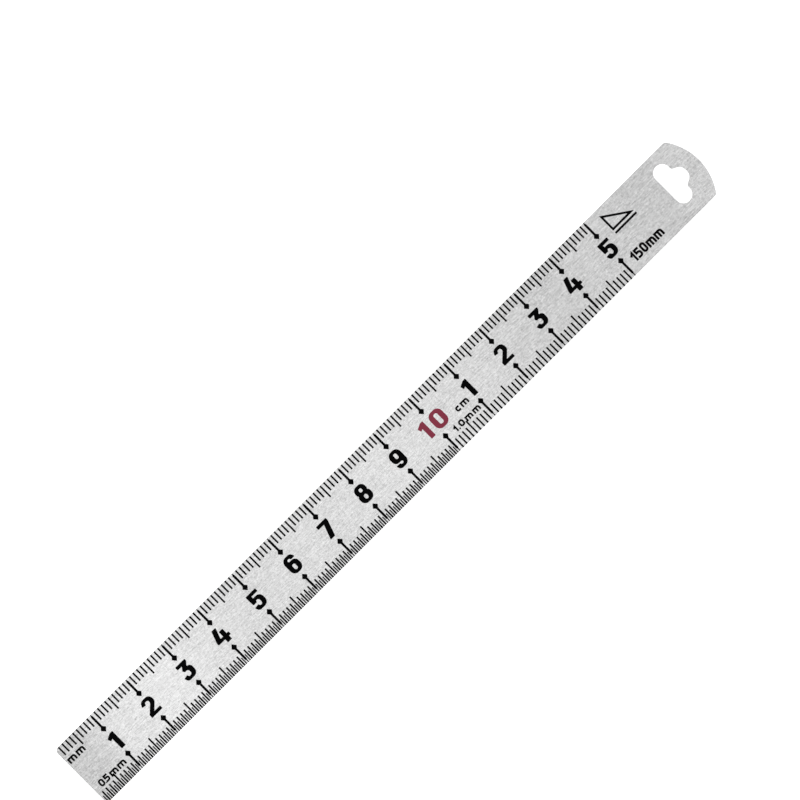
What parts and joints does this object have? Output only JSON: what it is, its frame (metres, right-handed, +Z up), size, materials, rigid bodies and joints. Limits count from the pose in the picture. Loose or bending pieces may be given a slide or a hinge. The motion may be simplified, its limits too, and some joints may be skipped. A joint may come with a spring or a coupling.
{
  "type": "ruler",
  "caption": "Flat steel ruler with metric scales on one face, inch scales on the other, a square zero end and a hang hole near its rounded end.",
  "frame": {"origin": "middle of the blade's bounding box on its underside, the inch face it rests on", "axes": "+X along the length from the zero end to the hang hole, +Y towards the metric face's upper edge, +Z up out of the metric face"},
  "size_m": [0.1756, 0.015, 0.0005],
  "materials": {
    "steel": "fine brushed along the length",
    "black_fill": "matte baked enamel in the etched marks",
    "red_fill": "matte baked enamel in the etched marks"
  },
  "bodies": {
    "root": {"blade": "steel", "inch_numeral_1": "black_fill", "inch_numeral_2": "black_fill", "inch_numeral_3": "black_fill", "inch_numeral_4": "black_fill", "inch_numeral_5": "black_fill", "inch_numeral_6": "black_fill", "metric_lower_arrow_01": "black_fill", "metric_lower_arrow_02": "black_fill", "metric_lower_arrow_03": "black_fill", "metric_lower_arrow_04": "black_fill", "metric_lower_arrow_05": "black_fill", "metric_lower_arrow_06": "black_fill", "metric_lower_arrow_07": "black_fill", "metric_lower_arrow_08": "black_fill", "metric_lower_arrow_09": "black_fill", "metric_lower_arrow_10": "black_fill", "metric_lower_arrow_11": "black_fill", "metric_lower_arrow_12": "black_fill", "metric_lower_arrow_13": "black_fill", "metric_lower_arrow_14": "black_fill", "metric_lower_arrow_15": "black_fill", "metric_numeral_01": "black_fill", "metric_numeral_02": "black_fill", "metric_numeral_03": "black_fill", "metric_numeral_04": "black_fill", "metric_numeral_05": "black_fill", "metric_numeral_06": "black_fill", "metric_numeral_07": "black_fill", "metric_numeral_08": "black_fill", "metric_numeral_09": "black_fill", "metric_numeral_10_one": "red_fill", "metric_numeral_10_zero": "red_fill", "metric_numeral_11": "black_fill", "metric_numeral_12": "black_fill", "metric_numeral_13": "black_fill", "metric_numeral_14": "black_fill", "metric_numeral_15": "black_fill", "metric_upper_arrow_01": "black_fill", "metric_upper_arrow_02": "black_fill", "metric_upper_arrow_03": "black_fill", "metric_upper_arrow_04": "black_fill", "metric_upper_arrow_05": "black_fill", "metric_upper_arrow_06": "black_fill", "metric_upper_arrow_07": "black_fill", "metric_upper_arrow_08": "black_fill", "metric_upper_arrow_09": "black_fill", "metric_upper_arrow_10": "black_fill", "metric_upper_arrow_11": "black_fill", "metric_upper_arrow_12": "black_fill", "metric_upper_arrow_13": "black_fill", "metric_upper_arrow_14": "black_fill", "metric_upper_arrow_15": "black_fill"}
  },
  "joints": []
}
